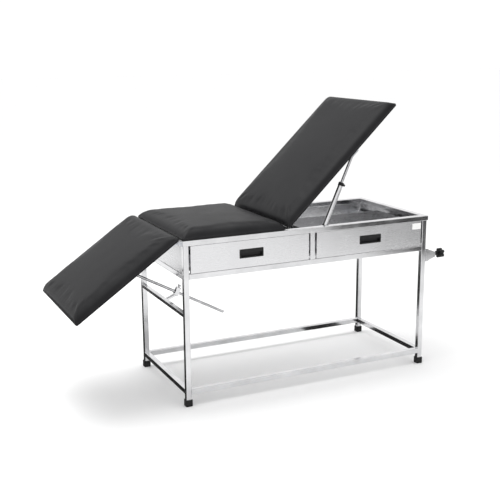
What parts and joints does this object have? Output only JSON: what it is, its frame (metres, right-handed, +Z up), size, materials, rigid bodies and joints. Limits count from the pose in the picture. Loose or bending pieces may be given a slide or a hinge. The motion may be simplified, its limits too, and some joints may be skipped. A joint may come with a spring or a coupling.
{
  "type": "medical exam table",
  "caption": "Free-standing examination couch: square tube steel frame with drawers, fixed padded seat, reclining backrest on telescopic struts, drop-down leg section and pole clamp.",
  "frame": {"origin": "centre of the bounding box in X and Y, on the floor under the feet", "axes": "+X from the leg section to the head end, +Y from the drawer side to the back, +Z up"},
  "size_m": [1.9108, 0.6136, 1.3374],
  "materials": {
    "black_vinyl": "satin leather-grain vinyl-coated fabric",
    "board_backing": "matt black backing",
    "black_rubber": "matt",
    "black_plastic": "satin",
    "white_label": "matt",
    "brushed_sheet": "brushed stainless sheet",
    "bright_rod": "bright",
    "zinc_steel": "zinc plated",
    "polished_steel": "polished stainless tube"
  },
  "bodies": {
    "frame": {"back_hinge_fixed_leaves": "zinc_steel", "cabinet_rail_back": "polished_steel", "cabinet_rail_front": "polished_steel", "cabinet_rail_left": "polished_steel", "cabinet_rail_right": "polished_steel", "centre_divider": "polished_steel", "drawer_runners_left": "zinc_steel", "drawer_runners_right": "zinc_steel", "foot_caps": "black_rubber", "guide_screw": "bright_rod", "hinge_cross_member": "polished_steel", "leg_back_left": "polished_steel", "leg_back_right": "polished_steel", "leg_crossbar": "polished_steel", "leg_front_left": "polished_steel", "leg_front_right": "polished_steel", "leg_hinge_lugs": "zinc_steel", "leg_rod_guide": "polished_steel", "lower_rail_back": "polished_steel", "lower_rail_front": "polished_steel", "lower_rail_left": "polished_steel", "lower_rail_right": "polished_steel", "panel_back": "brushed_sheet", "panel_left": "brushed_sheet", "panel_right": "brushed_sheet", "pole_holder": "polished_steel", "seat_board": "board_backing", "seat_cushion": "black_vinyl", "strut_anchors": "zinc_steel", "top_rail_back": "polished_steel", "top_rail_front": "polished_steel", "top_rail_left": "polished_steel", "top_rail_right": "polished_steel"},
    "drawer_left": {"drawer_left_box": "brushed_sheet", "drawer_left_front": "brushed_sheet", "drawer_left_pull": "black_plastic", "drawer_left_slides": "zinc_steel"},
    "drawer_right": {"blank_label": "white_label", "drawer_right_box": "brushed_sheet", "drawer_right_front": "brushed_sheet", "drawer_right_pull": "black_plastic", "drawer_right_slides": "zinc_steel"},
    "backrest": {"back_hinge_moving_leaves": "zinc_steel", "backrest_board": "board_backing", "backrest_cushion": "black_vinyl", "strut_ears": "zinc_steel"},
    "leg_section": {"leg_hinge_straps": "zinc_steel", "leg_rod_bracket": "zinc_steel", "leg_section_board": "board_backing", "leg_section_cushion": "black_vinyl"},
    "strut_front_tube": {"strut_front_collar": "black_plastic", "strut_front_tube": "polished_steel"},
    "strut_front_rod": {"strut_front_rod": "bright_rod"},
    "strut_back_tube": {"strut_back_collar": "black_plastic", "strut_back_tube": "polished_steel"},
    "strut_back_rod": {"strut_back_rod": "bright_rod"},
    "leg_rod": {"leg_rod": "bright_rod"},
    "clamp_stud": {"clamp_stud": "bright_rod"},
    "clamp_knob": {"clamp_knob": "black_plastic"}
  },
  "joints": [
    {"name": "drawer_left_slide", "type": "slide", "parent": "frame", "child": "drawer_left", "axis": [0, -1, 0], "range_m": [0, 0.3]},
    {"name": "drawer_right_slide", "type": "slide", "parent": "frame", "child": "drawer_right", "axis": [0, -1, 0], "range_m": [0, 0.3]},
    {"name": "backrest_tilt", "type": "hinge", "parent": "frame", "child": "backrest", "pos_m": [0.06144, 0.00255, 0.777], "axis": [0, -1, 0], "range_deg": [-43.5, 0]},
    {"name": "leg_section_tilt", "type": "hinge", "parent": "frame", "child": "leg_section", "pos_m": [-0.47656, 0.00255, 0.766], "axis": [0, 1, 0], "range_deg": [-25, 34.5]},
    {"name": "strut_front_swing", "type": "hinge", "parent": "frame", "child": "strut_front_tube", "pos_m": [0.27644, -0.25545, 0.757], "axis": [0, -1, 0], "range_deg": [-65.3, 0.05]},
    {"name": "strut_front_extend", "type": "slide", "parent": "strut_front_tube", "child": "strut_front_rod", "axis": [0.4074, 0, 0.9133], "range_m": [-0.10108, 0.0001]},
    {"name": "strut_back_swing", "type": "hinge", "parent": "frame", "child": "strut_back_tube", "pos_m": [0.27644, 0.26055, 0.757], "axis": [0, -1, 0], "range_deg": [-65.3, 0.05]},
    {"name": "strut_back_extend", "type": "slide", "parent": "strut_back_tube", "child": "strut_back_rod", "axis": [0.4074, 0, 0.9133], "range_m": [-0.10108, 0.0001]},
    {"name": "leg_rod_swing", "type": "hinge", "parent": "leg_section", "child": "leg_rod", "pos_m": [-0.67356, 0.00255, 0.619], "axis": [0, 1, 0], "range_deg": [-23.16, 16.8]},
    {"name": "clamp_stud_feed", "type": "slide", "parent": "frame", "child": "clamp_stud", "axis": [-1, 0, 0], "range_m": [0, 0.005]},
    {"name": "clamp_knob_turn", "type": "hinge", "parent": "clamp_stud", "child": "clamp_knob", "pos_m": [0.94344, -0.28495, 0.5695], "axis": [-1, 0, 0], "range_deg": [0, 1440]}
  ],
  "couplings": [
    {"joint": "strut_front_swing", "follows": "backrest_tilt", "ratio": 1.5},
    {"joint": "strut_front_extend", "follows": "backrest_tilt", "m_per_rad": 0.133},
    {"joint": "strut_back_swing", "follows": "backrest_tilt", "ratio": 1.5},
    {"joint": "strut_back_extend", "follows": "backrest_tilt", "m_per_rad": 0.133},
    {"joint": "leg_rod_swing", "follows": "leg_section_tilt", "ratio": -0.67},
    {"joint": "clamp_stud_feed", "follows": "clamp_knob_turn", "m_per_rad": 0.00019894}
  ]
}
